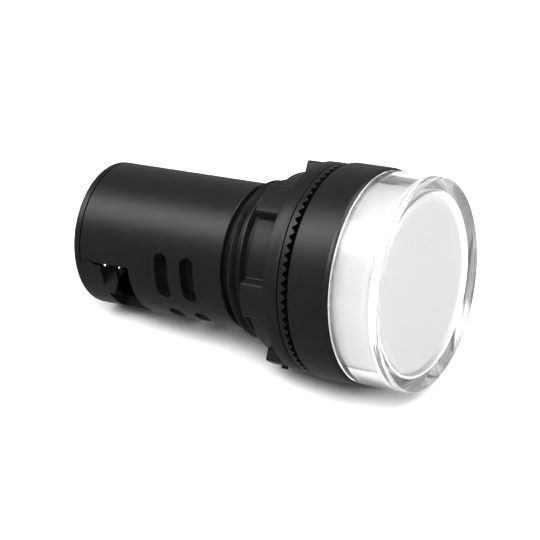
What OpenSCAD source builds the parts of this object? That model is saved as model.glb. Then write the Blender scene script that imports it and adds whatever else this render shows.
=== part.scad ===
// Panel pilot light for a 22 mm panel hole, in millimetres.
// The lamp's axis lies along Y with the lens facing -Y and +Z up.
// The origin is the centre of the bezel's rear face, where the panel sits.
// Each piece is drawn about its own Z axis, front upwards, and laid down by on_panel().

/* [Bezel and neck] */
// Outer diameter of the bezel
bezel_d = 29; // [28.4:0.2:31]
// Height of the bezel in front of the panel
bezel_h = 5.85; // [5:0.05:7]
// Bevel on the bezel's front edge, measured across the face
bezel_bevel = 0.3; // [0.1:0.05:0.4]
// Thickness of the web between the bezel and the neck
web_t = 1.6; // [1.4:0.1:2.2]
// Major diameter of the neck's thread
neck_d = 21.8; // [21.6:0.1:22]
// Length of the threaded neck behind the panel face
neck_len = 11.8; // [10.6:0.2:12.4]
// Pitch of the neck's thread
thread_pitch = 1.5; // [1:0.25:2]
// Depth of the neck's thread
thread_depth = 0.75; // [0.5:0.05:0.9]
// Distance from the neck's rear end to the first crest
thread_lead = 0.8; // [0.5:0.05:1]
// Length of plain neck in front of the thread
plain_len = 1.2; // [0.8:0.1:2]
// Depth of the socket in the neck's rear end
socket_depth = 4.8; // [3:0.2:6]
// Wall of the neck in front of the socket
neck_wall = 2.3; // [2.1:0.1:2.5]

/* [Sealing gasket] */
// Radial gap between the neck and the gasket
gasket_gap = 0.55; // [0.4:0.05:0.8]
// Share of the bezel's overhang round the neck that the gasket covers
gasket_share = 0.53; // [0.4:0.01:0.6]
// Thickness of the gasket
gasket_t = 0.9; // [0.6:0.05:1]
// How far the gasket stands proud of the bezel's rear face
gasket_proud = 0.15; // [0.05:0.05:0.2]

/* [Lens and diffuser] */
// Height of the lens in front of the bezel
lens_h = 7.05; // [5:0.05:9]
// Wall of the lens
lens_wall = 1.7; // [1.3:0.1:2]
// Thickness of the lens's front
lens_front_t = 1.7; // [1:0.1:2.5]
// Radius of the lens's front edge
lens_edge_r = 1.1; // [0.5:0.1:1.2]
// Step between the bezel's and the lens's outer walls
lens_setback = 0.3; // [0.2:0.05:0.5]
// Step from the lens's outer wall in to its skirt
skirt_step = 0.6; // [0.4:0.05:0.8]
// Thickness of the diffuser's flange under the lens's skirt
diffuser_flange_t = 0.6; // [0.4:0.05:1.2]
// Gap between the diffuser's side wall and the lens
diffuser_gap = 0.35; // [0.2:0.05:0.6]
// Wall of the diffuser
diffuser_wall = 0.8; // [0.5:0.1:1.2]
// Gap between the diffuser's front and the lens
diffuser_front_gap = 0.3; // [0.2:0.05:0.8]
// Radius of the diffuser's front edge
diffuser_edge_r = 0.6; // [0.2:0.1:0.8]
// Gap between the diode board and the inside of the diffuser
board_gap = 0.4; // [0.2:0.1:0.8]

/* [Toothed washer] */
// Thickness of the washer under its teeth
washer_t = 0.55; // [0.45:0.05:1]
// Height of the teeth
tooth_h = 0.65; // [0.4:0.05:0.8]
// Number of teeth
tooth_count = 72; // [60:1:80]
// Radial length of the teeth
tooth_len = 1.7; // [1:0.1:2.4]
// Step from the bezel's outer wall in to the washer and the nut's flange
rim_setback = 0.3; // [0.2:0.05:0.5]
// Gap between the tooth tips and the bezel, with no panel fitted
panel_gap = 0.5; // [0.25:0.05:1]

/* [Retaining nut] */
// Length of the nut along the thread
nut_len = 5.8; // [5:0.05:7]
// Thickness of the nut's flange
flange_t = 2.15; // [1.5:0.05:3]
// Number of grip lobes
lobe_count = 6; // [4:1:8]
// Radial wall of the nut between its lobes
nut_wall = 1.35; // [1.2:0.05:1.8]
// Step from the nut's flange in to the outside of its lobes
lobe_setback = 0.3; // [0.1:0.05:0.5]
// Half width of a lobe at its outside, as an angle
lobe_half_angle = 9.8; // [8:0.1:13]
// How much wider a lobe is at its foot on each side, as an angle
lobe_flare = 2; // [1:0.5:7]
// Angle at which the first lobe stands
lobe_phase = 56; // [0:1:59]
// Height of the moulding nub on one lobe
nub_h = 0.4; // [0.3:0.05:0.6]
// Radius of the nub
nub_r = 0.5; // [0.3:0.05:0.6]
// Distance from the flange to the nub's axis
nub_setback = 1.75; // [1:0.05:2.4]

/* [Rear housing] */
// Step from the neck's thread in to the rear housing
housing_step = 0.95; // [0.8:0.05:1.1]
// Wall of the rear housing
housing_wall = 1.5; // [1.2:0.1:1.7]
// Wall of the spigot that goes into the neck
spigot_t = 0.75; // [0.6:0.05:0.85]
// Gap between the neck's rear end and the housing's front shoulder
shoulder_gap = 1.2; // [0.8:0.1:2]
// Distance from the panel face to the rear end of the lamp
rear_y = 37.1; // [36.6:0.1:39]
// Width of a vent slot
vent_w = 2.1; // [1.6:0.1:2.4]
// Distance from the housing's shoulder to the front row of vents
vent_step = 5.45; // [4.4:0.05:6]
// Distance between the two rows of vents
vent_pitch = 4.15; // [3.2:0.05:4.5]
// Arc of the middle vent
vent_mid_arc = 50; // [40:1:56]
// Arc of a side vent
vent_side_arc = 39; // [30:1:46]
// Arc of wall between two vents
vent_rib_arc = 15; // [10:1:20]

/* [Wire mouth] */
// Direction of the wire mouth, as an angle from +X towards +Z
mouth_angle = 240; // [180:1:270]
// Depth of the mouth, from the housing's inner wall in to its long edges
mouth_depth = 3.78; // [3.4:0.01:3.9]
// Length of the mouth in front of the cap
mouth_len = 7.9; // [7.6:0.1:8.2]
// Width of the bar that splits the mouth into two windows, one for each wire
mouth_bar_w = 1.6; // [1.2:0.1:1.7]

/* [Rear cap] */
// Thickness of the cap's rim and floor
cap_t = 1.2; // [1:0.1:1.6]
// Radius of the cap's rear edge
cap_edge_r = 0.5; // [0.2:0.05:0.7]
// Depth of the cap's skirt behind the wire mouth
cap_skirt = 3.25; // [2.6:0.05:3.4]
// How far the guide tongues rise above the skirt
tongue_h = 1.4; // [0.8:0.1:1.6]
// Radial gap between a screw head and its screwdriver hole
driver_hole_gap = 0.3; // [0.2:0.05:0.5]
// Depth of the cap's locating ring inside the housing
cap_ring_h = 2.2; // [1:0.1:2.6]
// Wall of the cap's locating ring
cap_ring_t = 0.8; // [0.6:0.1:1]
// Distance from the middle of the skirt to a guide tongue
tongue_x = 5.2; // [4.8:0.1:5.4]
// Width of a guide tongue
tongue_w = 1.4; // [1:0.1:1.6]
// Drop across the top of a guide tongue
tongue_drop = 0.3; // [0.1:0.1:0.5]
// How far the skirt's barbs reach under the mouth's edges
barb_reach = 0.35; // [0.25:0.05:0.35]
// Distance from the cap's rim to the foot of a barb
barb_foot = 0.8; // [0.6:0.1:1]
// Length of a barb's catching face along the axis
barb_face = 0.4; // [0.3:0.05:0.5]
// Length of a barb's leading slope along the axis
barb_slope = 1.1; // [0.9:0.1:1.2]
// Distance from the mouth's middle to the near corner of a relief opening
relief_near = 0.35; // [0.3:0.05:0.6]
// Distance from the mouth's middle to the far corner of a relief opening
relief_far = 3.4; // [2.8:0.1:3.4]
// Distance from the mouth's middle to the tip of a relief opening
relief_tip = 1.65; // [1:0.05:2.4]
// Depth of a relief opening, towards the mouth
relief_depth = 1.75; // [1:0.05:2]
// Step from the mouth's long edges in to the relief openings and the ring's ends
mouth_lip = 0.3; // [0.2:0.05:0.4]

/* [Terminals] */
// How far a screw stands in from the middle between the barrier and the housing's wall
terminal_inset = 0.125; // [0:0.025:0.2]
// Distance from the lamp's axis to the line of the screws, towards the mouth
terminal_offset = 0.4; // [0:0.1:0.6]
// Thickness of the terminal block
block_t = 3.6; // [3.4:0.1:4]
// Thickness of the barrier between the terminals
barrier_t = 1.2; // [0.8:0.1:1.4]
// Step from the mouth's long edges in to the end of the barrier
barrier_setback = 0.4; // [0.3:0.1:1]
// Step from the terminal plate's edges in to the square clamp washer
clamp_margin = 0.2; // [0.1:0.05:0.4]
// Thickness of the clamp washer
clamp_t = 1; // [0.8:0.1:1.2]
// Thickness of the terminal plate
plate_t = 0.8; // [0.6:0.05:1]
// Gap between the terminal plate and the barrier
plate_gap = 1; // [0.9:0.05:1.2]
// Length of the terminal plate, along the mouth's direction
plate_l = 6.4; // [6:0.1:6.6]
// Thread diameter of the terminal screw
screw_d = 2.9; // [2.6:0.1:3]
// Step from the clamp washer's edges in to the head of the terminal screw
head_margin = 0.1; // [0.05:0.05:0.3]
// Head height of the terminal screw
screw_head_h = 1.8; // [1.4:0.1:2]
// Length of the terminal screw under its head
screw_len = 4.7; // [4.4:0.1:4.9]
// Width of the slots in the screw head
screw_slot_w = 0.7; // [0.6:0.05:0.9]
// Distance from the clamp washer's edge in to the middle of a grip groove
clamp_groove_inset = 0.7; // [0.5:0.05:0.8]
// Width of a grip groove
clamp_groove_w = 0.6; // [0.4:0.05:0.7]
// Depth of a grip groove
clamp_groove_h = 0.25; // [0.15:0.05:0.35]
// Width of the terminal plate's tail
tail_w = 2.4; // [2:0.1:2.6]

/* [Electronics] */
// Thickness of the circuit boards
board_t = 1.2; // [1:0.1:1.4]
// Gap between the driver board's edges and the housing
driver_board_gap = 0.54; // [0.3:0.02:1]
// Distance from the lamp's axis to the driver board's component face
driver_board_offset = 2.2; // [2.1:0.1:2.4]
// Distance from the edge of the diode board in to the diodes' centres
led_inset = 3.95; // [3:0.05:5]
// Width of the film capacitor
capacitor_w = 8; // [7:0.1:8.4]
// Height of the film capacitor above the board
capacitor_h = 5; // [4:0.1:5.4]
// Length of the film capacitor
capacitor_l = 10.5; // [9:0.1:11]
// Radius of the film capacitor's long edges
capacitor_edge_r = 0.6; // [0.3:0.1:1]
// Distance from the terminal block to the film capacitor
capacitor_gap = 3; // [1:0.1:4]
// Side of the square bridge rectifier
rectifier_side = 6.4; // [5:0.1:6.6]
// Height of the bridge rectifier
rectifier_h = 2.6; // [2:0.1:3]
// Distance from the panel face to the rear edge of the bridge rectifier
rectifier_y = 5; // [4:0.1:7]
// Width of a rectifier leg
leg_w = 0.8; // [0.6:0.05:1]
// Length of a rectifier leg
leg_l = 1.2; // [1:0.1:1.6]
// Thickness of a rectifier leg
leg_t = 0.3; // [0.2:0.05:0.4]
// Diameter of a resistor
resistor_d = 2.2; // [1.8:0.1:2.4]
// Length of a resistor's body
resistor_l = 6.2; // [5:0.1:6.4]
// Diameter of a resistor's leads
lead_d = 0.6; // [0.5:0.05:0.7]
// Distance between a resistor's two solder points
lead_span = 8.6; // [8:0.1:9.4]
// Gap between a resistor's body and the board
resistor_gap = 0.5; // [0.2:0.1:0.8]
// Distance from the driver board's edge in to a resistor
resistor_inset = 3.6; // [2.8:0.1:4.2]
// Distance from the panel face to the rear solder point of a resistor
resistor_y = 18; // [16:0.1:19]
// Side of a diode's square package
led_side = 3.5; // [2.8:0.1:3.8]
// Height of a diode's package
led_h = 1.4; // [0.8:0.1:2]

/* [Clearances] */
// Radial clearance of the nut and the washer on the neck
thread_clearance = 0.07; // [0.03:0.01:0.1]
// Radial clearance of glued and snapped joints
fit_gap = 0.05; // [0.03:0.01:0.1]
// Radial gap between the clamp washer and its screw
clamp_gap = 0.1; // [0.05:0.01:0.15]
// Radial gap between the terminal block and a screw
screw_gap = 0.25; // [0.15:0.05:0.4]
// Gap between the skirt's long edges and the mouth's
skirt_gap = 0.12; // [0.08:0.01:0.15]
// Gap between the skirt's free front part and the mouth's edges
skirt_free_gap = 0.36; // [0.2:0.02:0.4]
// Gap between the skirt and the bar, and between the cap's ring and the barrier
bar_gap = 0.2; // [0.1:0.05:0.3]

/* [Seams] */
// Width of the groove where the washer meets the nut, and the housing its cap
seam_w = 0.2; // [0.1:0.02:0.3]
// Depth of these grooves
seam_depth = 0.45; // [0.2:0.05:0.6]
// Chamfer that softens a moulded edge
soft_edge = 0.12; // [0.05:0.01:0.2]

/* [Hidden] */
$fn = 96;
// How far a cut runs past the piece it cuts
over = 1;
// How far joined shapes overlap, and how far a grip lobe starts inside the nut's wall
lap = 0.1;
lobe_root = 0.5;

led_count = 6;

black = "#232326";
board_green = "#1f4a33";
steel = "#b9bcc0";

// Radii, from the outside in
bezel_r = bezel_d / 2;
lens_r = bezel_r - lens_setback;
lens_in_r = lens_r - lens_wall;
lens_skirt_r = lens_r - skirt_step;
bezel_bore_r = lens_skirt_r + fit_gap;
diffuser_r = lens_in_r - diffuser_gap;
diffuser_in_r = diffuser_r - diffuser_wall;
led_board_r = diffuser_in_r - board_gap;
led_circle_r = led_board_r - led_inset;
neck_r = neck_d / 2;
neck_bore_r = neck_r - neck_wall;
rim_r = bezel_r - rim_setback;
housing_r = neck_r - housing_step;
housing_in_r = housing_r - housing_wall;
spigot_r = housing_in_r + spigot_t;
socket_r = spigot_r + fit_gap;
nut_bore_r = neck_r + thread_clearance;
nut_r = nut_bore_r + nut_wall;
seam_r = rim_r - seam_depth;
housing_d = 2 * housing_r;
mouth_chord = housing_in_r - mouth_depth;
lobe_r = rim_r - lobe_setback;
gasket_in_r = neck_r + gasket_gap;
gasket_r = gasket_in_r + gasket_share * (bezel_r - neck_r);

// Heights along the axis; the panel face is 0 and the front is positive
lens_front_z = bezel_h + lens_h;
diffuser_front_z = lens_front_z - lens_front_t - diffuser_front_gap;
flange_top_z = web_t + diffuser_flange_t;
skirt_end_z = flange_top_z + fit_gap;
gasket_groove = gasket_t - gasket_proud;
washer_front_z = -panel_gap;
washer_seat_z = washer_front_z - tooth_h;
washer_rear_z = washer_seat_z - washer_t;
nut_rear_z = washer_rear_z - nut_len;
flange_rear_z = washer_rear_z - flange_t;
socket_floor_z = socket_depth - neck_len;
shoulder_y = neck_len + shoulder_gap;
vent_y = shoulder_y + vent_step;
mouth_y = rear_y - cap_t - mouth_len;
cap_front_z = cap_t - rear_y;
skirt_front_z = cap_front_z + cap_skirt;
barb_z = cap_front_z + barb_foot;
barb_peak_z = barb_z + barb_face;
barb_end_z = barb_peak_z + barb_slope;
block_rear_z = -mouth_y;
block_front_z = block_rear_z + block_t;
plate_rear_z = block_rear_z - plate_t;
clamp_front_z = plate_rear_z - fit_gap;
clamp_rear_z = clamp_front_z - clamp_t;

// Terminals and driver board, sized by the space inside the housing
screw_x = (housing_in_r + barrier_t / 2) / 2 - terminal_inset;
plate_w = 2 * (screw_x - barrier_t / 2 - plate_gap);
clamp_side = plate_w - 2 * clamp_margin;
screw_head_d = clamp_side - 2 * head_margin;
driver_hole_d = screw_head_d + 2 * driver_hole_gap;
clamp_groove_x = clamp_side / 2 - clamp_groove_inset;
driver_board_back = driver_board_offset + board_t;
driver_board_w = 2 * (sqrt(pow(housing_in_r, 2) - pow(driver_board_back, 2)) - driver_board_gap);
resistor_x = driver_board_w / 2 - resistor_inset;

// Points of an arc, from angle a to angle b
function arc(cx, cy, r, a, b, steps = 6) =
  [for (i = [0 : steps]) let (t = a + (b - a) * i / steps) [cx + r * cos(t), cy + r * sin(t)]];

module on_panel() {
  rotate([90, 0, 0]) children();
}

// Turns a piece so that its +Y points out of the wire mouth
module to_mouth() {
  rotate([0, 0, mouth_angle - 90]) children();
}

module tube(r_out, r_in, z_low, z_high) {
  translate([0, 0, z_low])
    difference() {
      cylinder(r = r_out, h = z_high - z_low);
      translate([0, 0, -over]) cylinder(r = r_in, h = z_high - z_low + 2 * over);
    }
}

// ---- Front of the lamp ----

// Clear cap: a thick shell with a rounded front edge and a skirt that drops into the bezel
module lens() {
  color("white", 0.35)
    on_panel()
      rotate_extrude()
        polygon(concat(
          [[0, lens_front_z - lens_front_t],
            [lens_in_r, lens_front_z - lens_front_t],
            [lens_in_r, skirt_end_z],
            [lens_skirt_r, skirt_end_z],
            [lens_skirt_r, bezel_h],
            [lens_r, bezel_h]],
          arc(lens_r - lens_edge_r, lens_front_z - lens_edge_r, lens_edge_r, 0, 90),
          [[0, lens_front_z]]));
}

// White cup inside the lens; its flange stands on the web and carries the lens's skirt
module diffuser() {
  edge_r = diffuser_edge_r;
  color("#f2f2f0")
    on_panel()
      rotate_extrude()
        polygon(concat(
          [[0, diffuser_front_z - diffuser_wall],
            [diffuser_in_r, diffuser_front_z - diffuser_wall],
            [diffuser_in_r, web_t],
            [lens_skirt_r, web_t],
            [lens_skirt_r, flange_top_z],
            [diffuser_r, flange_top_z]],
          arc(diffuser_r - edge_r, diffuser_front_z - edge_r, edge_r, 0, 90, 4),
          [[0, diffuser_front_z]]));
}

module led_board() {
  color(board_green)
    on_panel()
      translate([0, 0, web_t]) cylinder(r = led_board_r, h = board_t);
}

// One diode: a white square package with a round light well in its front
module led(i) {
  well_r = led_side * 0.38;
  well_floor = led_h * 0.6;
  color("#f4f1d8")
    on_panel()
      rotate([0, 0, i * 360 / led_count])
        translate([led_circle_r, 0, web_t + board_t])
          difference() {
            translate([-led_side / 2, -led_side / 2, 0]) cube([led_side, led_side, led_h]);
            translate([0, 0, well_floor]) cylinder(r = well_r, h = led_h);
          }
}

// Bezel ring, web and threaded neck in one moulding; the thread is drawn as rings of its section
module bezel_body() {
  crest_w = thread_pitch / 8;
  root_r = neck_r - thread_depth;
  flank = thread_depth * tan(30);
  bevel_len = bezel_bevel * 1.6;
  first_z = thread_lead - neck_len;
  crests = floor((-plain_len - first_z) / thread_pitch);
  color(black)
    on_panel()
      rotate_extrude()
        polygon(concat(
          [[socket_r, -neck_len], [root_r, -neck_len]],
          [for (i = [0 : crests], side = [-1, 1], flat = side < 0 ? [1, 0] : [0, 1])
            if (i < crests || side < 0)
              [neck_r - flat * thread_depth,
                first_z + i * thread_pitch + side * (crest_w / 2 + flat * flank)]],
          [[neck_r, 0],
            [gasket_in_r - fit_gap, 0],
            [gasket_in_r - fit_gap, gasket_groove],
            [gasket_r + fit_gap, gasket_groove],
            [gasket_r + fit_gap, 0],
            [bezel_r, 0],
            [bezel_r, bezel_h - bevel_len],
            [bezel_r - bezel_bevel, bezel_h],
            [bezel_bore_r, bezel_h],
            [bezel_bore_r, web_t],
            [neck_bore_r, web_t],
            [neck_bore_r, socket_floor_z],
            [socket_r, socket_floor_z]]));
}

module sealing_gasket() {
  color("#101011")
    on_panel() tube(gasket_r, gasket_in_r, -gasket_proud, gasket_groove);
}

// ---- Fixing parts ----

// Lock washer: a flat ring with a crown of triangular teeth that bite the back of the panel
module tooth_washer() {
  tooth_w = 2 * PI * rim_r / tooth_count;
  root = 0.05;
  color(black)
    on_panel() {
      tube(rim_r, nut_bore_r, washer_rear_z + seam_w / 2, washer_seat_z);
      tube(seam_r, nut_bore_r, washer_rear_z, washer_rear_z + seam_w / 2);
      intersection() {
        for (i = [0 : tooth_count - 1])
          rotate([0, 0, i * 360 / tooth_count])
            translate([rim_r - tooth_len, 0, washer_seat_z])
              rotate([90, 0, 90])
                linear_extrude(height = tooth_len + over)
                  polygon([[-tooth_w / 2, -root], [tooth_w / 2, -root], [0, tooth_h]]);
        tube(rim_r, rim_r - tooth_len, washer_seat_z - root, washer_front_z + over);
      }
    }
}

// Grip lobe: a wedge, wider at its foot, that starts lobe_root inside the nut's wall
module lobe_wedge() {
  foot = lobe_half_angle + lobe_flare;
  foot_r = nut_r - lobe_root;
  tip_r = lobe_r + over;
  polygon([
    [foot_r * cos(foot), -foot_r * sin(foot)],
    [lobe_r * cos(lobe_half_angle), -lobe_r * sin(lobe_half_angle)],
    [tip_r, -lobe_r * sin(lobe_half_angle)],
    [tip_r, lobe_r * sin(lobe_half_angle)],
    [lobe_r * cos(lobe_half_angle), lobe_r * sin(lobe_half_angle)],
    [foot_r * cos(foot), foot_r * sin(foot)]]);
}

// Castellated nut: a ring with a flange at the washer and grip lobes behind it
module retaining_nut() {
  slope = 0.35;
  chamfer = 0.3;
  color(black)
    on_panel()
      union() {
        rotate_extrude()
          polygon([
            [nut_bore_r, washer_rear_z],
            [seam_r, washer_rear_z],
            [seam_r, washer_rear_z - seam_w / 2],
            [rim_r, washer_rear_z - seam_w / 2],
            [rim_r, flange_rear_z],
            [nut_r, flange_rear_z - slope],
            [nut_r, nut_rear_z + soft_edge],
            [nut_r - soft_edge, nut_rear_z],
            [nut_bore_r + chamfer, nut_rear_z],
            [nut_bore_r, nut_rear_z + chamfer]]);
        intersection() {
          for (i = [0 : lobe_count - 1])
            rotate([0, 0, lobe_phase + i * 360 / lobe_count])
              translate([0, 0, nut_rear_z])
                linear_extrude(height = nut_len) lobe_wedge();
          rotate_extrude()
            polygon([
              [nut_r - lobe_root, nut_rear_z],
              [lobe_r - soft_edge, nut_rear_z],
              [lobe_r, nut_rear_z + soft_edge],
              [lobe_r, flange_rear_z + lap],
              [nut_r - lobe_root, flange_rear_z + lap]]);
        }
        rotate([0, 0, lobe_phase + 180])
          translate([lobe_r - lobe_root, 0, flange_rear_z - nub_setback])
            rotate([0, 90, 0]) cylinder(r = nub_r, h = nub_h + lobe_root, $fn = 24);
      }
}

// ---- Rear housing ----

// Round-ended slot through the wall, centred on the angle mid
module vent(mid, arc_len, z) {
  end_angle = asin(vent_w / 2 / housing_r);
  half = arc_len / 2 - end_angle;
  rotate([0, 0, mid]) {
    rotate([0, 0, -half])
      rotate_extrude(angle = 2 * half)
        translate([housing_in_r - over, z - vent_w / 2]) square([housing_wall + 2 * over, vent_w]);
    for (side = [-half, half])
      rotate([0, 0, side])
        translate([housing_in_r - over, 0, z])
          rotate([0, 90, 0]) cylinder(r = vent_w / 2, h = housing_wall + 2 * over, $fn = 32);
  }
}

// Side view of the wire mouth, with a catch that takes the cap's barb
module mouth_outline() {
  polygon([
    [mouth_chord, cap_front_z - over],
    [mouth_chord, barb_z],
    [mouth_chord - barb_reach, barb_peak_z],
    [mouth_chord, barb_end_z],
    [mouth_chord, -mouth_y],
    [housing_r + over, -mouth_y],
    [housing_r + over, cap_front_z - over]]);
}

// The middle of the mouth, in which its bar stands
module mouth_middle(width) {
  to_mouth()
    translate([-width / 2, mouth_chord, cap_front_z - 2 * over])
      cube([width, housing_r, rear_y - mouth_y + 2 * over]);
}

// Lays a side view, drawn with the mouth's direction along X and the front along Y, across the lamp
module across_lamp(width) {
  to_mouth()
    translate([width / 2, 0, 0])
      rotate([90, 0, -90])
        mirror([1, 0, 0])
          linear_extrude(height = width) children();
}

module rear_housing() {
  side_mid = (vent_mid_arc + vent_side_arc) / 2 + vent_rib_arc;
  ledge_w = 0.3;
  ledge_h = 0.6;
  ledge_r = housing_in_r - ledge_w;
  seam_in_r = housing_r - seam_depth;
  color(black)
    on_panel()
      difference() {
        rotate_extrude()
          polygon([
            [housing_in_r, cap_front_z],
            [seam_in_r, cap_front_z],
            [seam_in_r, cap_front_z + seam_w / 2],
            [housing_r, cap_front_z + seam_w / 2],
            [housing_r, -shoulder_y - soft_edge],
            [housing_r - soft_edge, -shoulder_y],
            [spigot_r, -shoulder_y],
            [spigot_r, socket_floor_z - fit_gap],
            [housing_in_r, socket_floor_z - fit_gap],
            [housing_in_r, block_front_z + ledge_h],
            [ledge_r, block_front_z + ledge_h],
            [ledge_r, block_front_z],
            [housing_in_r, block_front_z]]);
        difference() {
          across_lamp(2 * housing_d) mouth_outline();
          mouth_middle(mouth_bar_w);
        }
        for (row = [0, 1])
          for (v = [[0, vent_mid_arc], [-side_mid, vent_side_arc], [side_mid, vent_side_arc]])
            vent(mouth_angle + v[0], v[1], -vent_y - row * vent_pitch);
      }
}

// Ring that centres the cap in the housing, open towards the mouth and where the barrier stands
module cap_ring() {
  ring_r = housing_in_r - fit_gap;
  notch_w = barrier_t + 2 * bar_gap;
  difference() {
    tube(ring_r, ring_r - cap_ring_t, cap_front_z - lap, cap_front_z + cap_ring_h);
    to_mouth() {
      translate([-housing_r, mouth_chord - mouth_lip, cap_front_z])
        cube([housing_d, housing_r, cap_ring_h + over]);
      translate([-notch_w / 2, -housing_r, cap_front_z])
        cube([notch_w, housing_r, cap_ring_h + over]);
    }
  }
}

// Side view of the skirt, with the barb that snaps under the mouth's long edges
module skirt_outline() {
  edge = mouth_chord + skirt_gap;
  free_edge = mouth_chord + skirt_free_gap;
  top_z = skirt_front_z + tongue_h;
  polygon([
    [edge, cap_front_z - seam_w],
    [edge, barb_z],
    [edge - barb_reach, barb_peak_z],
    [free_edge, barb_end_z],
    [free_edge, top_z],
    [housing_r + over, top_z],
    [housing_r + over, cap_front_z - seam_w]]);
}

// Front view of half of the skirt, from the bar outwards, with a guide tongue on its front
module skirt_half() {
  half_w = sqrt(pow(housing_r, 2) - pow(mouth_chord, 2)) + over;
  start = mouth_bar_w / 2 + bar_gap;
  polygon([
    [start, cap_front_z - seam_w],
    [half_w, cap_front_z - seam_w],
    [half_w, skirt_front_z],
    [tongue_x + tongue_w, skirt_front_z],
    [tongue_x + tongue_w, skirt_front_z + tongue_h],
    [tongue_x, skirt_front_z + tongue_h - tongue_drop],
    [tongue_x, skirt_front_z],
    [start, skirt_front_z]]);
}

// Skirt that closes the mouth's rear half on both sides of the bar
module cap_skirt_wall() {
  intersection() {
    tube(housing_r, housing_in_r + fit_gap, cap_front_z - seam_w, skirt_front_z + tongue_h + over);
    across_lamp(2 * housing_d) skirt_outline();
    to_mouth()
      rotate([90, 0, 0])
        mirror([0, 0, 1])
          linear_extrude(height = housing_r + over)
            for (side = [0, 1])
              mirror([side, 0]) skirt_half();
  }
}

// Floor, locating ring and skirt, with the holes that open the floor
module rear_cap() {
  relief_y = mouth_chord - mouth_lip;
  color(black)
    on_panel()
      difference() {
        union() {
          // Floor with a rounded rear edge
          rotate_extrude()
            polygon(concat(
              [[0, -rear_y]],
              arc(housing_r - cap_edge_r, cap_edge_r - rear_y, cap_edge_r, -90, 0, 5),
              [[housing_r, cap_front_z - seam_w / 2],
                [housing_r - seam_depth, cap_front_z - seam_w / 2],
                [housing_r - seam_depth, cap_front_z],
                [0, cap_front_z]]));
          cap_ring();
          cap_skirt_wall();
        }
        to_mouth()
          translate([0, 0, -rear_y - over]) {
            // Screwdriver holes over the terminal screws
            for (side = [-1, 1])
              translate([side * screw_x, terminal_offset, 0])
                cylinder(d = driver_hole_d, h = cap_t + 2 * over);
            // Triangular relief openings, one beside each wire
            linear_extrude(height = cap_t + 2 * over)
              for (side = [-1, 1])
                polygon([
                  [side * relief_near, relief_y],
                  [side * relief_far, relief_y],
                  [side * relief_tip, relief_y + relief_depth]]);
          }
      }
}

// ---- Terminals ----

// Insulating block with a barrier between its two terminals
module terminal_block() {
  block_r = housing_in_r - fit_gap;
  barrier_y = mouth_chord - barrier_setback;
  hole_r = screw_d / 2 + screw_gap;
  hole_floor = 0.3;
  color("#1a1a1c")
    on_panel()
      to_mouth()
        difference() {
          union() {
            translate([0, 0, block_rear_z]) cylinder(r = block_r, h = block_t);
            intersection() {
              translate([-barrier_t / 2, -block_r, cap_front_z])
                cube([barrier_t, block_r + barrier_y, block_rear_z - cap_front_z + lap]);
              translate([0, 0, cap_front_z - over]) cylinder(r = block_r, h = rear_y);
            }
          }
          for (side = [-1, 1]) {
            translate([side * screw_x, terminal_offset, block_rear_z - over])
              cylinder(r = hole_r, h = block_t - hole_floor + over);
            tail_box(side, fit_gap, block_rear_z - over, block_front_z + over);
          }
        }
}

// Tail of a terminal plate, or with a gap the slot that it passes through
module tail_box(side, gap, z_low, z_high) {
  translate([side * screw_x - tail_w / 2 - gap, -driver_board_offset - gap, z_low])
    cube([tail_w + 2 * gap, plate_t + 2 * gap, z_high - z_low]);
}

// Plate under the clamp, with a tail through the block to the driver board
module terminal_plate(side) {
  bore_r = screw_d / 2 + fit_gap;
  tail_out = 1;
  color("#c8a24a")
    on_panel()
      to_mouth()
        difference() {
          union() {
            translate([side * screw_x - plate_w / 2, terminal_offset - plate_l / 2, plate_rear_z])
              cube([plate_w, plate_l, plate_t]);
            tail_box(side, 0, plate_rear_z + lap, block_front_z + tail_out);
          }
          translate([side * screw_x, terminal_offset, plate_rear_z - over])
            cylinder(r = bore_r, h = plate_t + 2 * over);
        }
}

// Square washer with grooves that grip the wire
module clamp_washer(side) {
  bore_r = screw_d / 2 + clamp_gap;
  groove_z = clamp_t - clamp_groove_h;
  color(steel)
    on_panel()
      to_mouth()
        translate([side * screw_x, terminal_offset, clamp_rear_z])
          difference() {
            translate([-clamp_side / 2, -clamp_side / 2, 0]) cube([clamp_side, clamp_side, clamp_t]);
            translate([0, 0, -over]) cylinder(r = bore_r, h = clamp_t + 2 * over);
            for (groove = [-1, 1])
              translate([groove * clamp_groove_x - clamp_groove_w / 2, -clamp_side, groove_z])
                cube([clamp_groove_w, 2 * clamp_side, over]);
          }
}

// Pan-head screw with a cross recess and a blade slot
module terminal_screw(side) {
  slot_depth = screw_head_h * 0.55;
  head_edge_r = 0.5;
  tip_chamfer = 0.4;
  color(steel)
    on_panel()
      to_mouth()
        translate([side * screw_x, terminal_offset, clamp_rear_z])
          difference() {
            rotate_extrude()
              polygon(concat(
                [[0, -screw_head_h]],
                arc(screw_head_d / 2 - head_edge_r, head_edge_r - screw_head_h, head_edge_r, -90, 0, 3),
                [[screw_head_d / 2, 0],
                  [screw_d / 2, 0],
                  [screw_d / 2, screw_len - tip_chamfer],
                  [screw_d / 2 - tip_chamfer, screw_len],
                  [0, screw_len]]));
            for (turn = [0, 90])
              rotate([0, 0, turn])
                translate([-screw_head_d, -screw_slot_w / 2, -screw_head_h - over])
                  cube([2 * screw_head_d, screw_slot_w, slot_depth + over]);
          }
}

// ---- Driver ----

module driver_board() {
  color(board_green)
    on_panel()
      to_mouth()
        translate([-driver_board_w / 2, -driver_board_back, block_front_z])
          cube([driver_board_w, board_t, web_t - block_front_z]);
}

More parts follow.
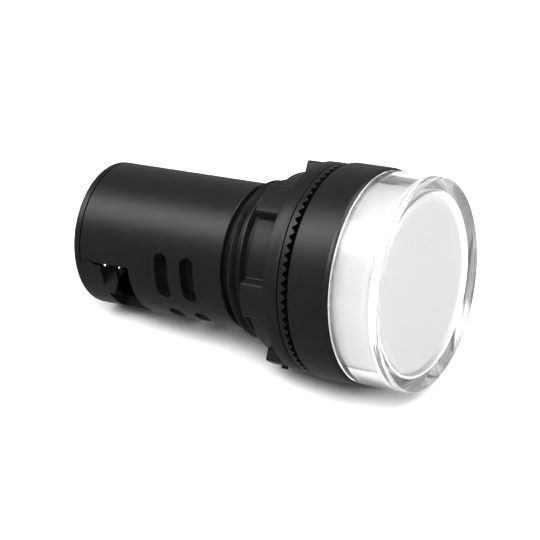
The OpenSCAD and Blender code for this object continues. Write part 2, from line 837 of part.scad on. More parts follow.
// Box capacitor with rounded long edges, lying on the driver board
module film_capacitor() {
  x = capacitor_w / 2 - capacitor_edge_r;
  low = capacitor_edge_r;
  high = capacitor_h - capacitor_edge_r;
  color("#24262b")
    on_panel()
      to_mouth()
        translate([0, -driver_board_offset, block_front_z + capacitor_gap])
          linear_extrude(height = capacitor_l)
            polygon(concat(
              arc(-x, low, capacitor_edge_r, 180, 270, 4),
              arc(x, low, capacitor_edge_r, 270, 360, 4),
              arc(x, high, capacitor_edge_r, 0, 90, 4),
              arc(-x, high, capacitor_edge_r, 90, 180, 4)));
}

// Square bridge rectifier with two flat legs on each side
module bridge_rectifier() {
  leg_inset = 1;
  color("#151517")
    on_panel()
      to_mouth()
        translate([0, -driver_board_offset, -rectifier_y])
          union() {
            translate([-rectifier_side / 2, 0, 0]) cube([rectifier_side, rectifier_h, rectifier_side]);
            for (z = [leg_inset, rectifier_side - leg_inset - leg_w])
              translate([-rectifier_side / 2 - leg_l, 0, z])
                cube([rectifier_side + 2 * leg_l, leg_t, leg_w]);
          }
}

// Axial resistor laid along the back of the driver board on bent leads
module resistor(side) {
  rise = resistor_d / 2 + resistor_gap;
  body_start = (lead_span - resistor_l) / 2;
  color("#c9b48a")
    on_panel()
      to_mouth()
        translate([side * resistor_x, -driver_board_back, -resistor_y])
          union() {
            translate([0, -rise, body_start]) cylinder(d = resistor_d, h = resistor_l, $fn = 48);
            translate([0, -rise, -lead_d / 2]) cylinder(d = lead_d, h = lead_span + lead_d, $fn = 24);
            for (z = [0, lead_span])
              translate([0, 0, z]) rotate([90, 0, 0]) cylinder(d = lead_d, h = rise, $fn = 24);
          }
}

lens();
diffuser();
led_board();
led(1);  // led_1
led(2);  // led_2
led(3);  // led_3
led(4);  // led_4
led(5);  // led_5
led(6);  // led_6
bezel_body();
sealing_gasket();
tooth_washer();
retaining_nut();
rear_housing();
driver_board();
film_capacitor();
bridge_rectifier();
resistor(-1);  // resistor_1
resistor(1);  // resistor_2
terminal_block();
terminal_plate(-1);  // terminal_plate_1
terminal_plate(1);  // terminal_plate_2
clamp_washer(-1);  // clamp_washer_1
clamp_washer(1);  // clamp_washer_2
terminal_screw(-1);  // terminal_screw_1
terminal_screw(1);  // terminal_screw_2
rear_cap();
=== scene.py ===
"""Looks of the panel pilot light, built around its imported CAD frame, in metres."""

import math

import bmesh
import bpy
from mathutils import Matrix, Vector


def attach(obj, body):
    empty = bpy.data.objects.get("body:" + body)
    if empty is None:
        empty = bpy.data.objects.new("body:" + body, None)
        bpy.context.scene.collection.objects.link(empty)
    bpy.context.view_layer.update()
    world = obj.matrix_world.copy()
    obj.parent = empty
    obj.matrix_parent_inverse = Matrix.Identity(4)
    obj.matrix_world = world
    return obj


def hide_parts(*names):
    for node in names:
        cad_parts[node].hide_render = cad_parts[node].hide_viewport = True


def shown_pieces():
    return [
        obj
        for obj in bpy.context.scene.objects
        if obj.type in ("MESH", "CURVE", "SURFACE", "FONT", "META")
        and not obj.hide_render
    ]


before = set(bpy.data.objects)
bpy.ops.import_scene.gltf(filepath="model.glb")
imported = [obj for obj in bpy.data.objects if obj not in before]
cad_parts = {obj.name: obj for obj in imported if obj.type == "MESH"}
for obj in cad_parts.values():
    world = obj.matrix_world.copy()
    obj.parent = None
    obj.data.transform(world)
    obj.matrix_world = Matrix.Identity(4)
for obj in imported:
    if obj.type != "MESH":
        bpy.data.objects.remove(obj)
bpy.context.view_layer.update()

MM = 0.001
scene = bpy.context.scene


# ---- Sizes in millimetres and angles in degrees that the CAD source has too, or that follow from it ----

BEZEL_R, BEZEL_H, BEZEL_BEVEL = 14.5, 5.85, (0.3, 0.48)
WEB_T = 1.6
NECK_R, NECK_LEN, NECK_BORE_R = 10.9, 11.8, 8.6
THREAD_PITCH, THREAD_DEPTH, PLAIN_LEN = 1.5, 0.75, 1.2
SOCKET_R, SOCKET_FLOOR = 9.25, 7.0
# Walls and depth of the gasket's groove
GROOVE_IN, GROOVE_OUT, GROOVE_DEPTH = 11.4, 13.408, 0.75
LENS_R, LENS_IN_R, SKIRT_R, BORE_R = 14.2, 12.5, 13.6, 13.65
LENS_FRONT, LENS_INNER_FRONT, SKIRT_END = 12.9, 11.2, 2.25
DIFFUSER_R, DIFFUSER_IN_R = 12.15, 11.35
DIFFUSER_FRONT, DIFFUSER_INNER_FRONT, FLANGE_TOP = 10.9, 10.1, 2.2
RIM_R, SEAM_R, SEAM_W = 14.2, 13.75, 0.2
NUT_FRONT, NUT_REAR, FLANGE_REAR, FLANGE_SLOPE = 1.7, 7.5, 3.85, 0.35
NUT_BORE_R, NUT_R, LOBE_R, NUT_CHAMFER = 10.97, 12.32, 13.9, 0.3
LOBES, LOBE_PHASE, LOBE_HALF, LOBE_FOOT = 6, 56, 9.8, 11.3
NUB_R, NUB_H, NUB_Y = 0.5, 0.4, 5.6


# ---- Sizes in millimetres and angles in degrees that are only here ----

# The source rounds the lens's edge by 1.1 and the diffuser's by 0.6, and has no fillet
LENS_EDGE, LENS_FILLET, CUP_EDGE = 0.4, 0.55, 1.4
# Ring of the flat faces, inside these edges
LENS_FLAT, CUP_FLAT = 2.4, 2.5
# Bevels at the cup's foot and inside its front
CUP_FOOT, CUP_BEVEL = 0.15, 0.3
# White collar of the cup: how far it stays inside the lens's edge, its two walls past the skirt's radius,
# and its two faces over the bezel
COLLAR_SETBACK, COLLAR_IN, COLLAR_OUT, COLLAR_LOW, COLLAR_TOP = 0.02, 0.015, 0.04, 0.01, 0.03
# How far the lens's step stands over the bezel, to leave room for the collar, and its small bevel
STEP_GAP, STEP_BEVEL = 0.05, 0.04
# Place along Y of a thread crest at an angle from +X towards +Z in degrees, and the slope of the run-out
CREST_Y, CREST_ANGLE, RUN_OUT = 11.0, 200, 1.3
# Gap that keeps the nut's face off the washer's
NUT_CLEARANCE = 0.02
# Soft corners of the lobes, how far the nub starts inside its lobe, and its number of sides
LOBE_CORNER, NUB_ROOT, NUB_SIDES = 0.3, 0.6, 32
# Bevel at the mouth of the neck's socket
SOCKET_BEVEL = 0.25


# ---- Camera, floor and light ----

CAMERA_AZIMUTH = -56.3
CAMERA_ELEVATION = 25.65
CAMERA_ROLL = -6.2
CAMERA_DISTANCE = 295.8 * MM
CAMERA_LENS = 145.6
CAMERA_AIM = Vector((-0.43, 11.29, -1.57)) * MM
FLOOR_TILT = 6.9
FLOOR_SIZE = 6.0

LIGHT_DISTANCE = 1.5
SKY = 0.32
# Name, azimuth, elevation, width, height, power in watts and roll
SOFTBOXES = [("back_softbox", -146, 52, 1.7, 1.0, 15, 65),
             ("front_softbox", -66, 50, 1.06, 1.06, 29, 0),
             ("side_softbox", 16, 48, 1.6, 1.6, 27, 0)]

# The thick clear lens needs many bounces, or its rim turns black
ALL_BOUNCES, LENS_BOUNCES = 32, 24


def from_angles(azimuth, elevation):
    """Unit vector from the object towards a place at these angles; azimuth 0 is the -Y side."""
    a, e = math.radians(azimuth), math.radians(elevation)
    return Vector((math.sin(a) * math.cos(e), -math.cos(a) * math.cos(e), math.sin(e)))


def make_camera():
    data = bpy.data.cameras.new("camera")
    data.lens = CAMERA_LENS
    data.sensor_width = 36
    data.clip_start, data.clip_end = 0.01, 20
    cam = bpy.data.objects.new("camera", data)
    scene.collection.objects.link(cam)
    back = from_angles(CAMERA_AZIMUTH, CAMERA_ELEVATION)
    level = (-back).to_track_quat("-Z", "Y").to_matrix()
    turn = Matrix.Rotation(math.radians(CAMERA_ROLL), 3, back)
    cam.matrix_world = Matrix.Translation(CAMERA_AIM + back * CAMERA_DISTANCE) @ (turn @ level).to_4x4()
    scene.camera = cam


def lowest_point(normal):
    """How far the object reaches down along the floor's normal."""
    least = 1e9
    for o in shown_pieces():
        for v in o.data.vertices:
            least = min(least, v.co.dot(normal))
    return least


def make_floor():
    tilt = Matrix.Rotation(math.radians(FLOOR_TILT), 3, "X")
    normal = tilt @ Vector((0, 0, 1))
    height = lowest_point(normal)
    bpy.ops.mesh.primitive_plane_add(size=FLOOR_SIZE)
    floor = bpy.context.object
    floor.name = "floor"
    floor.matrix_world = Matrix.Translation(normal * height) @ tilt.to_4x4()
    floor.data.materials.append(floor_material())
    floor.visible_glossy = False


def soften_edges(data):
    """Fades a softbox towards its edges, with its mean brightness kept."""
    data.use_nodes = True
    tree = data.node_tree
    place = tree.nodes.new("ShaderNodeNewGeometry")
    split = tree.nodes.new("ShaderNodeSeparateXYZ")
    tree.links.new(place.outputs["Parametric"], split.inputs["Vector"])
    faded = None
    for axis in ("X", "Y"):
        away = math_node(tree, "MULTIPLY_ADD", split.outputs[axis], 2.0, -1.0)
        fade = math_node(tree, "SUBTRACT", 1.0, math_node(tree, "MULTIPLY", away, away))
        faded = fade if faded is None else math_node(tree, "MULTIPLY", faded, fade)
    tree.links.new(math_node(tree, "MULTIPLY", faded, 2.25), tree.nodes["Emission"].inputs["Strength"])


def math_node(tree, operation, *values):
    """Output of a maths node; each value is a number or another node's output."""
    node = tree.nodes.new("ShaderNodeMath")
    node.operation = operation
    for socket, value in zip(node.inputs, values):
        if isinstance(value, (int, float)):
            socket.default_value = value
        else:
            tree.links.new(value, socket)
    return node.outputs["Value"]


def area_light(name, azimuth, elevation, width, height, power, roll):
    data = bpy.data.lights.new(name, "AREA")
    data.shape = "RECTANGLE"
    data.size, data.size_y = width, height
    data.energy = power
    soften_edges(data)
    lamp = bpy.data.objects.new(name, data)
    scene.collection.objects.link(lamp)
    back = from_angles(azimuth, elevation)
    aim = (-back).to_track_quat("-Z", "Y").to_matrix()
    turn = Matrix.Rotation(math.radians(roll), 3, back)
    lamp.matrix_world = Matrix.Translation(CAMERA_AIM + back * LIGHT_DISTANCE) @ (turn @ aim).to_4x4()


def make_world():
    world = bpy.data.worlds.new("studio")
    scene.world = world
    world.use_nodes = True
    nodes = world.node_tree.nodes
    nodes["Background"].inputs["Color"].default_value = (1, 1, 1, 1)
    nodes["Background"].inputs["Strength"].default_value = SKY


# ---- Materials ----

# Places, in millimetres of the row frame, where a finish changes on a hidden piece
LED_CIRCLE_R, WELL_R, DIE_R, LED_FACE_Y = 7.0, 1.36, 0.35, -4.19
RESISTOR_MIDDLE, RESISTOR_HALF, BAND_HALF = 13.7, 3.12, 0.28
BANDS = [(11.7, (0.5, 0.2, 0.02)), (12.8, (0.01, 0.01, 0.012)),
         (13.9, (0.45, 0.02, 0.015)), (15.6, (0.55, 0.38, 0.08))]
RECTIFIER_HALF = 3.22
TRACK_PITCH, TRACK_STEP, TRACK_HALF = 1.6, 2.3, 0.22


def principled(name):
    mat = bpy.data.materials.new(name)
    mat.use_nodes = True
    return mat, mat.node_tree, mat.node_tree.nodes["Principled BSDF"]


def floor_material():
    mat, tree, bsdf = principled("pale_floor")
    bsdf.inputs["Base Color"].default_value = (0.9, 0.9, 0.9, 1)
    bsdf.inputs["Roughness"].default_value = 0.9
    bsdf.inputs["Specular IOR Level"].default_value = 0.0
    return mat


def object_noise(tree, scale, detail=2.0, stretch=(1, 1, 1)):
    coords = tree.nodes.new("ShaderNodeTexCoord")
    mapping = tree.nodes.new("ShaderNodeMapping")
    mapping.inputs["Scale"].default_value = stretch
    noise = tree.nodes.new("ShaderNodeTexNoise")
    noise.inputs["Scale"].default_value = scale
    noise.inputs["Detail"].default_value = detail
    tree.links.new(coords.outputs["Object"], mapping.inputs["Vector"])
    tree.links.new(mapping.outputs["Vector"], noise.inputs["Vector"])
    return noise.outputs["Fac"]


def place(tree):
    """X, Y and Z of the row frame, in millimetres."""
    coords = tree.nodes.new("ShaderNodeTexCoord")
    split = tree.nodes.new("ShaderNodeSeparateXYZ")
    tree.links.new(coords.outputs["Object"], split.inputs["Vector"])
    return [math_node(tree, "DIVIDE", split.outputs[axis], MM) for axis in "XYZ"]


def board_width(tree, x, z):
    """Place across the driver board, in millimetres from its middle."""
    return math_node(tree, "MULTIPLY_ADD", x, 0.866, math_node(tree, "MULTIPLY", z, -0.5))


def within(tree, value, middle, half):
    """1 where a value is no further than half from the middle, else 0."""
    return math_node(tree, "COMPARE", value, middle, half)


def ramp(tree, fac, low, high, start=0.0, end=1.0):
    node = tree.nodes.new("ShaderNodeMapRange")
    node.inputs["From Min"].default_value = start
    node.inputs["From Max"].default_value = end
    node.inputs["To Min"].default_value = low
    node.inputs["To Max"].default_value = high
    tree.links.new(fac, node.inputs["Value"])
    return node.outputs["Result"]


def blend(tree, share, low, high):
    """Colour between two others, each a colour or another node's output."""
    node = tree.nodes.new("ShaderNodeMix")
    node.data_type = "RGBA"
    tree.links.new(share, node.inputs[0])
    for socket, colour in ((node.inputs[6], low), (node.inputs[7], high)):
        if isinstance(colour, tuple):
            socket.default_value = (*colour, 1)
        else:
            tree.links.new(colour, socket)
    return node.outputs[2]


def bump(tree, bsdf, height, distance, edge=0.0):
    """Fine relief from a height; edge is the radius of the soft edges that are shaded on."""
    node = tree.nodes.new("ShaderNodeBump")
    node.inputs["Distance"].default_value = distance
    tree.links.new(height, node.inputs["Height"])
    tree.links.new(node.outputs["Normal"], bsdf.inputs["Normal"])
    if edge:
        soft = tree.nodes.new("ShaderNodeBevel")
        soft.samples = 6
        soft.inputs["Radius"].default_value = edge
        tree.links.new(soft.outputs["Normal"], node.inputs["Normal"])


def painted_shade_openness(tree, reach):
    """0 in grooves and inner corners narrower than the reach, 1 on open faces; the mask of the painted shade
    in grooves.
    """
    node = tree.nodes.new("ShaderNodeAmbientOcclusion")
    node.samples = 6
    node.inputs["Distance"].default_value = reach
    return ramp(tree, node.outputs["AO"], 0.0, 1.0, 0.45, 0.9)


def moulded_plastic(name, colour, roughness, grain=0.004 * MM, edge=0.0, specular=0.5, groove=0.0):
    """Plastic or rubber with cloudy gloss, slight tint changes and a fine grain.

    A groove's width, if given, paints shade into grooves up to that width, by tinting the reflections there
    dark.
    """
    mat, tree, bsdf = principled(name)
    cloudy = object_noise(tree, 500, 3.0)
    lighter = tuple(c * 1.25 for c in colour)
    tint = blend(tree, ramp(tree, cloudy, 0, 1, 0.35, 0.65), colour, lighter)
    gloss = ramp(tree, cloudy, roughness - 0.025, roughness + 0.025, 0.3, 0.7)
    tree.links.new(tint, bsdf.inputs["Base Color"])
    tree.links.new(gloss, bsdf.inputs["Roughness"])
    bsdf.inputs["Specular IOR Level"].default_value = specular
    if groove:
        # Painted shade: the reflections are tinted near black in grooves, recesses and inner corners.
        shade = blend(tree, painted_shade_openness(tree, groove), (0.05, 0.05, 0.05), (1, 1, 1))
        tree.links.new(shade, bsdf.inputs["Specular Tint"])
    bump(tree, bsdf, object_noise(tree, 9000), grain, edge)
    return mat


def clear_lens():
    """Clear moulded plastic with the faint waviness of a thick wall."""
    mat, tree, bsdf = principled("clear_lens")
    bsdf.inputs["Base Color"].default_value = (0.965, 0.968, 0.97, 1)
    bsdf.inputs["Transmission Weight"].default_value = 1.0
    bsdf.inputs["IOR"].default_value = 1.5
    bsdf.inputs["Roughness"].default_value = 0.0
    bump(tree, bsdf, object_noise(tree, 160, 1.0, (1, 0.25, 1)), 0.02 * MM)
    return mat


def white_diffuser():
    mat, tree, bsdf = principled("white_diffuser")
    cloudy = object_noise(tree, 120, 2.0)
    tree.links.new(blend(tree, cloudy, (0.66, 0.66, 0.664), (0.68, 0.68, 0.68)), bsdf.inputs["Base Color"])
    tree.links.new(ramp(tree, cloudy, 0.36, 0.44), bsdf.inputs["Roughness"])
    bump(tree, bsdf, object_noise(tree, 5000), 0.002 * MM)
    return mat


def metal(name, colour, tarnish, roughness, stretch):
    """Bright metal with fine lines from rolling or turning and darker patches."""
    mat, tree, bsdf = principled(name)
    patches = ramp(tree, object_noise(tree, 400, 3.0), 0, 1, 0.4, 0.75)
    tree.links.new(blend(tree, patches, colour, tarnish), bsdf.inputs["Base Color"])
    bsdf.inputs["Metallic"].default_value = 1.0
    lines = object_noise(tree, 2500, 3.0, stretch)
    tree.links.new(ramp(tree, lines, roughness - 0.1, roughness + 0.1, 0.3, 0.7), bsdf.inputs["Roughness"])
    bump(tree, bsdf, lines, 0.008 * MM, 0.06 * MM)
    return mat


def circuit_board():
    """Green solder mask over woven glass, with copper tracks that show lighter through it."""
    mat, tree, bsdf = principled("circuit_board")
    x, y, z = place(tree)
    across = board_width(tree, x, z)
    tracks = None
    for value, pitch in ((across, TRACK_PITCH), (math_node(tree, "ADD", y, x), TRACK_STEP)):
        beat = math_node(tree, "ABSOLUTE", math_node(tree, "WRAP", value, pitch / 2, -pitch / 2))
        line = math_node(tree, "LESS_THAN", beat, TRACK_HALF)
        tracks = line if tracks is None else math_node(tree, "MAXIMUM", tracks, line)
    broken = math_node(tree, "GREATER_THAN", object_noise(tree, 320, 0.0), 0.5)
    tracks = math_node(tree, "MULTIPLY", tracks, broken)
    mask = blend(tree, object_noise(tree, 900), (0.008, 0.07, 0.03), (0.012, 0.09, 0.04))
    tree.links.new(blend(tree, tracks, mask, (0.03, 0.2, 0.07)), bsdf.inputs["Base Color"])
    tree.links.new(ramp(tree, tracks, 0.34, 0.26), bsdf.inputs["Roughness"])
    bump(tree, bsdf, tracks, 0.03 * MM)
    return mat


def led_package():
    """White LED case with yellow phosphor in its round well."""
    mat, tree, bsdf = principled("led_package")
    x, y, z = place(tree)
    sector = math.pi / 3
    angle = math_node(tree, "ARCTAN2", z, x)
    turn = math_node(tree, "WRAP", angle, sector / 2, -sector / 2)
    radius = math_node(tree, "SQRT", math_node(tree, "MULTIPLY_ADD", x, x, math_node(tree, "MULTIPLY", z, z)))
    along = math_node(tree, "MULTIPLY", radius, math_node(tree, "COSINE", turn))
    out = math_node(tree, "SUBTRACT", along, LED_CIRCLE_R)
    side = math_node(tree, "MULTIPLY", radius, math_node(tree, "SINE", turn))
    squares = math_node(tree, "MULTIPLY_ADD", out, out, math_node(tree, "MULTIPLY", side, side))
    away = math_node(tree, "SQRT", squares)
    round_well = math_node(tree, "LESS_THAN", away, WELL_R)
    inside = math_node(tree, "MULTIPLY", round_well, math_node(tree, "GREATER_THAN", y, LED_FACE_Y))
    die = math_node(tree, "LESS_THAN", away, DIE_R)
    phosphor = blend(tree, die, (0.85, 0.6, 0.06), (0.9, 0.75, 0.2))
    tree.links.new(blend(tree, inside, (0.82, 0.81, 0.76), phosphor), bsdf.inputs["Base Color"])
    tree.links.new(ramp(tree, inside, 0.4, 0.15), bsdf.inputs["Roughness"])
    bump(tree, bsdf, object_noise(tree, 4000), 0.003 * MM)
    return mat


def banded_resistor():
    """Tan lacquered body with four colour bands and tinned leads."""
    mat, tree, bsdf = principled("resistor_case")
    y = place(tree)[1]
    colour = blend(tree, object_noise(tree, 900), (0.55, 0.4, 0.22), (0.62, 0.47, 0.28))
    for middle, band in BANDS:
        colour = blend(tree, within(tree, y, middle, BAND_HALF), colour, band)
    body = within(tree, y, RESISTOR_MIDDLE, RESISTOR_HALF)
    tree.links.new(blend(tree, body, (0.7, 0.7, 0.7), colour), bsdf.inputs["Base Color"])
    tree.links.new(math_node(tree, "SUBTRACT", 1.0, body), bsdf.inputs["Metallic"])
    tree.links.new(ramp(tree, object_noise(tree, 1200), 0.25, 0.4), bsdf.inputs["Roughness"])
    bump(tree, bsdf, object_noise(tree, 2500), 0.01 * MM)
    return mat


def legged_case():
    """Black epoxy body with tinned legs at its sides."""
    mat, tree, bsdf = principled("rectifier_case")
    x, _, z = place(tree)
    body = within(tree, board_width(tree, x, z), 0.0, RECTIFIER_HALF)
    epoxy = blend(tree, object_noise(tree, 800, 3.0), (0.01, 0.01, 0.011), (0.016, 0.016, 0.017))
    tree.links.new(blend(tree, body, (0.68, 0.68, 0.68), epoxy), bsdf.inputs["Base Color"])
    tree.links.new(math_node(tree, "SUBTRACT", 1.0, body), bsdf.inputs["Metallic"])
    tree.links.new(ramp(tree, object_noise(tree, 1500), 0.35, 0.5), bsdf.inputs["Roughness"])
    bump(tree, bsdf, object_noise(tree, 6000), 0.008 * MM)
    return mat


MATERIALS = {
    "clear_lens": clear_lens(),
    "white_diffuser": white_diffuser(),
    # The black plastic paints shade into its grooves and recesses, up to 2.5 mm wide.
    "black_plastic": moulded_plastic("black_plastic", (0.0036, 0.0036, 0.0038), 0.36,
                                     edge=0.07 * MM, specular=0.3, groove=2.5 * MM),
    "block_plastic": moulded_plastic("block_plastic", (0.01, 0.01, 0.011), 0.35, edge=0.1 * MM),
    "gasket_rubber": moulded_plastic("gasket_rubber", (0.008, 0.008, 0.008), 0.65, 0.02 * MM),
    "circuit_board": circuit_board(),
    "led_package": led_package(),
    "capacitor_case": moulded_plastic("capacitor_case", (0.018, 0.02, 0.026), 0.3, 0.01 * MM),
    "rectifier_case": legged_case(),
    "resistor_case": banded_resistor(),
    "brass_plate": metal("brass_plate", (0.75, 0.55, 0.22), (0.5, 0.33, 0.12), 0.3, (1, 0.06, 1)),
    "plated_steel": metal("plated_steel", (0.62, 0.63, 0.65), (0.45, 0.46, 0.48), 0.28, (0.1, 1, 1)),
}


# ---- Geometry ----

def at(radius, angle, y):
    """Point of the row frame, in metres, from a radius, an angle from +X towards +Z and a place along Y."""
    return Vector((radius * math.cos(angle), y, radius * math.sin(angle))) * MM


def mesh_object(name, points, faces, smooth=32):
    """A closed mesh with its doubles merged, outward normals and edges kept sharp past an angle."""
    mesh = bpy.data.meshes.new(name)
    mesh.from_pydata(points, [], faces)
    work = bmesh.new()
    work.from_mesh(mesh)
    bmesh.ops.remove_doubles(work, verts=work.verts, dist=0.001 * MM)
    bmesh.ops.dissolve_degenerate(work, edges=work.edges, dist=0.0005 * MM)
    bmesh.ops.recalc_face_normals(work, faces=work.faces)
    work.to_mesh(mesh)
    work.free()
    mesh.shade_smooth()
    mesh.set_sharp_from_angle(angle=math.radians(smooth))
    obj = bpy.data.objects.new(name, mesh)
    scene.collection.objects.link(obj)
    return obj


def stitch(rings, closed):
    """Points and faces of a skin over rings of equal length; a closed one joins its two end rings."""
    count = len(rings[0])
    points = [p for ring in rings for p in ring]
    faces = []
    for i in range(len(rings) if closed else len(rings) - 1):
        a, b = i * count, (i + 1) % len(rings) * count
        for j in range(count):
            k = (j + 1) % count
            faces.append((a + j, a + k, b + k, b + j))
    return points, faces


def revolve(name, outline, segments=240, smooth=32):
    """Solid of revolution from a closed outline of (radius, y); points on the axis become poles."""
    angles = [2 * math.pi * j / segments for j in range(segments)]
    rings = [[at(r, a, y) for a in angles] for r, y in outline]
    on_axis = outline[0][0] == 0
    return mesh_object(name, *stitch(rings, not on_axis), smooth)


def rounded(points, radius, steps=4):
    """Closed flat outline with each corner cut to a curve; a corner's third value is its own reach."""
    result = []
    for i, point in enumerate(points):
        here = Vector(point[:2])
        reach = point[2] if len(point) > 2 else radius
        before, after = Vector(points[i - 1][:2]), Vector(points[(i + 1) % len(points)][:2])
        if reach == 0:
            result.append(tuple(here))
            continue
        start = here + (before - here).normalized() * min(reach, (before - here).length * 0.45)
        end = here + (after - here).normalized() * min(reach, (after - here).length * 0.45)
        for k in range(steps + 1):
            t = k / steps
            result.append(tuple(start * (1 - t) ** 2 + here * 2 * t * (1 - t) + end * t * t))
    return result


def dress(obj, slot, node, body):
    """Gives a piece its finish, and lets it stand for a CAD node and ride on a body."""
    obj.data.materials.append(MATERIALS[slot])
    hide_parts(node)
    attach(obj, body)


def front(z):
    """Place along Y of a height in front of the panel face."""
    return -z


def quarter(r, y, radius, steps=10):
    """Rounded front corner of an outline, from its face at a place along Y to its wall at a radius."""
    turns = [math.pi / 2 * i / steps for i in range(steps + 1)]
    return [(r - radius + radius * math.sin(t), front(y - radius + radius * math.cos(t))) for t in turns]


def clear_cap():
    """Lens: a thick clear shell with a rounded front edge, an inner fillet and a skirt."""
    step = front(BEZEL_H + STEP_GAP)
    outline = [(0, front(LENS_FRONT)), (LENS_R - LENS_FLAT, front(LENS_FRONT))]
    outline += quarter(LENS_R, LENS_FRONT, LENS_EDGE)
    outline += [(LENS_R, front(BEZEL_H + 2 * STEP_GAP)), (LENS_R - STEP_BEVEL, step),
                (SKIRT_R, step), (SKIRT_R, front(SKIRT_END)), (LENS_IN_R, front(SKIRT_END))]
    outline += reversed(quarter(LENS_IN_R, LENS_INNER_FRONT, LENS_FILLET))
    outline += [(LENS_IN_R - LENS_FLAT, front(LENS_INNER_FRONT)), (0, front(LENS_INNER_FRONT))]
    dress(revolve("clear_cap", outline, 320), "clear_lens", "lens", "lamp")


def milky_cup():
    """Diffuser: a white cup with a rounded front edge, a flange and a thin collar round the lens's skirt."""
    collar_in, collar_out, under_lens = SKIRT_R + COLLAR_IN, SKIRT_R + COLLAR_OUT, LENS_R - COLLAR_SETBACK
    low, top = front(BEZEL_H + COLLAR_LOW), front(BEZEL_H + COLLAR_TOP)
    outline = [(0, front(DIFFUSER_FRONT)), (DIFFUSER_R - CUP_FLAT, front(DIFFUSER_FRONT))]
    outline += quarter(DIFFUSER_R, DIFFUSER_FRONT, CUP_EDGE)
    outline += [(DIFFUSER_R, front(FLANGE_TOP + CUP_FOOT)), (DIFFUSER_R + CUP_FOOT, front(FLANGE_TOP)),
                (collar_in, front(FLANGE_TOP)), (collar_in, top), (under_lens, top), (under_lens, low),
                (collar_out, low), (collar_out, front(WEB_T)), (DIFFUSER_IN_R, front(WEB_T)),
                (DIFFUSER_IN_R, front(DIFFUSER_INNER_FRONT - CUP_BEVEL)),
                (DIFFUSER_IN_R - CUP_BEVEL, front(DIFFUSER_INNER_FRONT)), (0, front(DIFFUSER_INNER_FRONT))]
    dress(revolve("milky_cup", outline, 240), "white_diffuser", "diffuser", "lamp")


# Thread over one pitch: place along it from a crest, and height over the root
THREAD_KNOTS = [(-0.75, 0.0), (-0.57, 0.0), (-0.5, 0.06), (-0.15, 0.69), (-0.08, 0.745), (0.0, 0.75),
                (0.08, 0.745), (0.15, 0.69), (0.5, 0.06), (0.57, 0.0)]


def thread_radius(phase):
    """Radius of the neck's thread at a place along its pitch, with 0 on a crest."""
    half = THREAD_PITCH / 2
    phase = (phase + half) % THREAD_PITCH - half
    knots = THREAD_KNOTS + [(half, 0.0)]
    for (a, low), (b, high) in zip(knots, knots[1:]):
        if phase <= b:
            return NECK_R - THREAD_DEPTH + low + (high - low) * (phase - a) / (b - a)
    return NECK_R - THREAD_DEPTH


def threaded_body(segments=240):
    """Bezel, web and neck, with a right-hand helical thread that tapers off at its rear end."""
    first_crest = CREST_Y - THREAD_PITCH * (90 - CREST_ANGLE) / 360
    knots = [k * THREAD_PITCH + y for k in range(-9, 3) for y, _ in THREAD_KNOTS]
    per_turn = len(THREAD_KNOTS)
    points, columns, faces = [], [], []
    fixed_before = rounded([
        (SOCKET_R, SOCKET_FLOOR, 0), (NECK_BORE_R, SOCKET_FLOOR, 0.1), (NECK_BORE_R, -WEB_T, 0.1),
        (BORE_R, -WEB_T, 0), (BORE_R, -BEZEL_H, 0.08), (BEZEL_R - BEZEL_BEVEL[0], -BEZEL_H, 0.12),
        (BEZEL_R, -BEZEL_H + BEZEL_BEVEL[1], 0.16), (BEZEL_R, 0, 0.15),
        (GROOVE_OUT, 0, 0), (GROOVE_OUT, -GROOVE_DEPTH, 0), (GROOVE_IN, -GROOVE_DEPTH, 0),
        (GROOVE_IN, 0, 0), (NECK_R, 0, 0), (NECK_R, PLAIN_LEN, 0)], 0.0)
    fixed_after = [(SOCKET_R + SOCKET_BEVEL, NECK_LEN), (SOCKET_R, NECK_LEN - SOCKET_BEVEL)]
    for j in range(segments):
        angle = 2 * math.pi * j / segments
        shift = THREAD_PITCH * (90 - math.degrees(angle)) / 360
        column = [at(r, angle, y) for r, y in fixed_before]
        for knot in knots:
            y = min(max(first_crest + shift + knot, PLAIN_LEN), NECK_LEN)
            run_out = NECK_R - THREAD_DEPTH + RUN_OUT * (NECK_LEN - y)
            column.append(at(min(thread_radius(y - first_crest - shift), run_out), angle, y))
        column += [at(r, angle, y) for r, y in fixed_after]
        columns.append(len(points))
        points += column
    head, body, tail = len(fixed_before), len(knots), len(fixed_after)
    total = head + body + tail
    for j in range(segments):
        a, b = columns[j], columns[(j + 1) % segments]
        step = per_turn if j == segments - 1 else 0
        for i in range(head - 1):
            faces.append((a + i, a + i + 1, b + i + 1, b + i))
        faces.append((a + head - 1, a + head, b + head, b + head - 1))
        for i in range(head, head + body - 1):
            k, m = i - step, i + 1 - step
            k, m = max(k, head), max(m, head)
            faces.append((a + i, a + i + 1, b + m, b + k) if k != m else (a + i, a + i + 1, b + m))
        last = head + body - 1
        faces.append((a + last, a + last + 1, b + last + 1, b + last))
        for i in range(last + 1, total - 1):
            faces.append((a + i, a + i + 1, b + i + 1, b + i))
        faces.append((a + total - 1, a, b, b + total - 1))
    dress(mesh_object("threaded_body", points, faces, 28), "black_plastic", "bezel_body", "lamp")


def lobed_outline():
    """Cross-section of the nut behind its flange, with soft corners: a list of flat points."""
    corners = []
    sector = 360 / LOBES
    for i in range(LOBES):
        middle = LOBE_PHASE + i * sector
        for k in range(1, int((sector - 2 * LOBE_FOOT) / 2)):
            corners.append((NUT_R, middle + LOBE_FOOT - sector + 2 * k, 0))
        corners.append((NUT_R, middle - LOBE_FOOT, LOBE_CORNER))
        corners.append((LOBE_R, middle - LOBE_HALF, LOBE_CORNER))
        for turn in (-7, -5, -3, -1, 1, 3, 5, 7):
            corners.append((LOBE_R, middle + turn, 0))
        corners.append((LOBE_R, middle + LOBE_HALF, LOBE_CORNER))
        corners.append((NUT_R, middle + LOBE_FOOT, LOBE_CORNER))
    flat = [(r * math.cos(math.radians(a)), r * math.sin(math.radians(a)), reach) for r, a, reach in corners]
    return [Vector(p) for p in rounded(flat, 0, 5)]


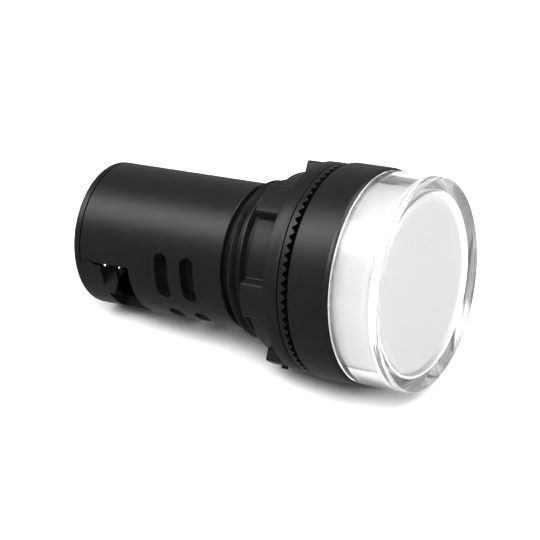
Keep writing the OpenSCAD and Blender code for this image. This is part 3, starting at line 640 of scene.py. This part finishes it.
def offset(outline, distance):
    """The outline moved outwards by a distance along its own normals."""
    moved = []
    for i, p in enumerate(outline):
        along = (outline[(i + 1) % len(outline)] - outline[i - 1]).normalized()
        moved.append(p + Vector((along.y, -along.x)) * distance)
    return moved


def castellated_nut():
    """Nut: a ring with a flange at the washer, grip lobes behind it and a nub on one of them."""
    outline = lobed_outline()
    angles = [math.atan2(p.y, p.x) for p in outline]

    def circle(radius, y):
        return [at(radius, a, y) for a in angles]

    def lobed(distance, y, follow=0.0):
        """Ring round the lobes, a distance outside them; follow is 1 on the flange's sloping rear face."""
        ring = []
        for p in offset(outline, distance):
            drop = FLANGE_SLOPE * (RIM_R - p.length) / (RIM_R - NUT_R)
            ring.append(Vector((p.x, y + follow * drop, p.y)) * MM)
        return ring

    face = NUT_FRONT + NUT_CLEARANCE
    rings = [circle(NUT_BORE_R, face), circle(SEAM_R, face), circle(SEAM_R, NUT_FRONT + SEAM_W / 2),
             circle(RIM_R - 0.1, NUT_FRONT + SEAM_W / 2), circle(RIM_R - 0.03, NUT_FRONT + SEAM_W / 2 + 0.03),
             circle(RIM_R, NUT_FRONT + SEAM_W / 2 + 0.1), circle(RIM_R, FLANGE_REAR - 0.12),
             circle(RIM_R - 0.03, FLANGE_REAR - 0.04), circle(RIM_R - 0.1, FLANGE_REAR),
             lobed(0.16, FLANGE_REAR, 1), lobed(0.05, FLANGE_REAR + 0.05, 1), lobed(0, FLANGE_REAR + 0.17, 1),
             lobed(0, NUT_REAR - 0.2), lobed(-0.06, NUT_REAR - 0.06), lobed(-0.2, NUT_REAR),
             circle(NUT_BORE_R + NUT_CHAMFER, NUT_REAR), circle(NUT_BORE_R, NUT_REAR - NUT_CHAMFER)]
    points, faces = stitch(rings, True)
    turn = math.radians(LOBE_PHASE + 180)
    base = len(points)
    nub = [(NUB_R, -NUB_ROOT), (NUB_R, NUB_H - 0.12), (NUB_R - 0.04, NUB_H - 0.04),
           (NUB_R - 0.12, NUB_H), (0.0, NUB_H)]
    out = Vector((math.cos(turn), 0, math.sin(turn)))
    side = Vector((0, 1, 0)).cross(out)
    for r, h in nub:
        for j in range(NUB_SIDES):
            t = 2 * math.pi * j / NUB_SIDES
            across = side * (r * math.cos(t)) + Vector((0, 1, 0)) * (r * math.sin(t))
            points.append((out * (LOBE_R + h) + Vector((0, NUB_Y, 0)) + across) * MM)
    for i in range(len(nub) - 1):
        for j in range(NUB_SIDES):
            k = (j + 1) % NUB_SIDES
            a, b = base + i * NUB_SIDES, base + (i + 1) * NUB_SIDES
            faces.append((a + j, a + k, b + k, b + j))
    faces.append(tuple(base + j for j in range(NUB_SIDES)))
    nut = mesh_object("castellated_nut", points, faces, 35)
    dress(nut, "black_plastic", "retaining_nut", "retaining_nut")


def dress_cad_nodes():
    """Each CAD node takes the finish of its own material slot."""
    for name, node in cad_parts.items():
        for held in node.material_slots:
            held.material = MATERIALS[held.material.name]


dress_cad_nodes()
clear_cap()
milky_cup()
threaded_body()
castellated_nut()
make_camera()
make_floor()
make_world()
for softbox in SOFTBOXES:
    area_light(*softbox)
scene.view_settings.view_transform = "Standard"
scene.cycles.max_bounces = ALL_BOUNCES
scene.cycles.glossy_bounces = LENS_BOUNCES
scene.cycles.transmission_bounces = LENS_BOUNCES
